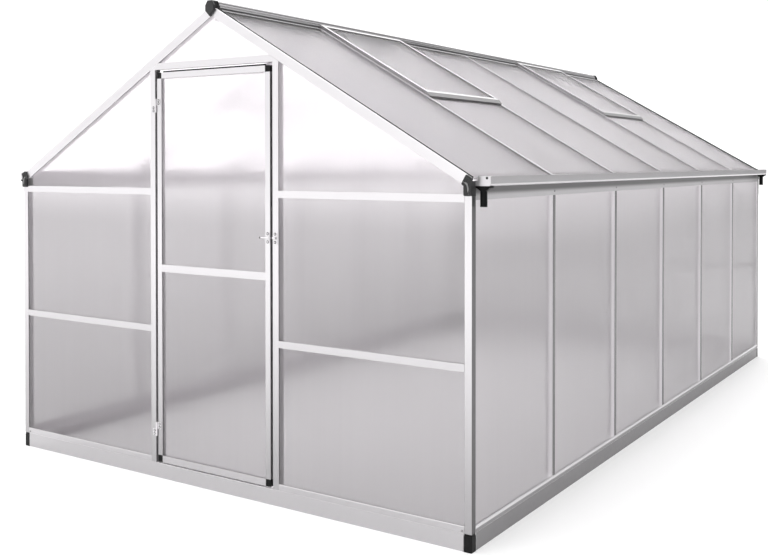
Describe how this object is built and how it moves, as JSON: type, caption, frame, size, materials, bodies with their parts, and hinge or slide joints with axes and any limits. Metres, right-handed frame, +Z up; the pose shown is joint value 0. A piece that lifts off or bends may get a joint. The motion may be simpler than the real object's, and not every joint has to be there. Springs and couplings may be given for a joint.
{
  "type": "greenhouse",
  "caption": "Walk-in garden greenhouse with translucent panels in a light metal frame, a pitched roof with vents, eaves gutters and a hinged gable door with a slide bolt.",
  "frame": {"origin": "middle of the footprint on the ground", "axes": "+X to the right seen from the door, +Y along the ridge away from the door, +Z up"},
  "size_m": [2.62, 4.21, 2.062],
  "materials": {
    "mill_aluminium": "plain mill-finished extrusion",
    "galvanised_steel": "dull galvanised sheet",
    "black_plastic": "matt moulded black",
    "dark_plastic": "matt moulded dark grey",
    "zinc_plated_steel": "bright zinc plating",
    "glazing_panel": "translucent fluted twin-wall sheet"
  },
  "bodies": {
    "building": {"base_end_rails": "galvanised_steel", "base_side_rails": "galvanised_steel", "base_corner_caps": "black_plastic", "front_sills": "mill_aluminium", "rear_sills": "mill_aluminium", "side_sills": "mill_aluminium", "corner_posts": "mill_aluminium", "left_wall_bars": "mill_aluminium", "right_wall_bars": "mill_aluminium", "left_eave_rail": "mill_aluminium", "right_eave_rail": "mill_aluminium", "gutter_floors": "mill_aluminium", "gutter_fronts": "mill_aluminium", "gutter_ends": "mill_aluminium", "gutter_outlets": "black_plastic", "eave_corner_caps": "dark_plastic", "ridge_bar": "mill_aluminium", "ridge_end_caps": "dark_plastic", "front_rafters": "mill_aluminium", "rear_rafters": "mill_aluminium", "left_roof_bars": "mill_aluminium", "right_roof_bars": "mill_aluminium", "door_posts": "mill_aluminium", "door_head": "mill_aluminium", "front_gable_rails": "mill_aluminium", "rear_gable_posts": "mill_aluminium", "rear_gable_rails": "mill_aluminium", "left_wall_panes": "glazing_panel", "right_wall_panes": "glazing_panel", "left_roof_panes": "glazing_panel", "right_roof_panes": "glazing_panel", "front_gable_panes": "glazing_panel", "rear_gable_panes": "glazing_panel", "vent_frames": "mill_aluminium", "vent_panes": "glazing_panel", "vent_sills": "mill_aluminium", "hinge_frame_leaves": "zinc_plated_steel", "latch_keeper": "zinc_plated_steel"},
    "door": {"door_stiles": "mill_aluminium", "door_rails": "mill_aluminium", "door_corner_blocks": "black_plastic", "door_panes": "glazing_panel", "hinge_door_leaves": "zinc_plated_steel", "latch_body": "zinc_plated_steel"},
    "latch_bolt": {"latch_bolt": "zinc_plated_steel"}
  },
  "joints": [
    {"name": "door_swing", "type": "hinge", "parent": "building", "child": "door", "pos_m": [-0.3285, -2.0985, 0.9], "axis": [0, 0, -1], "range_deg": [0, 150]},
    {"name": "bolt_slide", "type": "slide", "parent": "door", "child": "latch_bolt", "axis": [1, 0, 0], "range_m": [0, 0.022]}
  ]
}
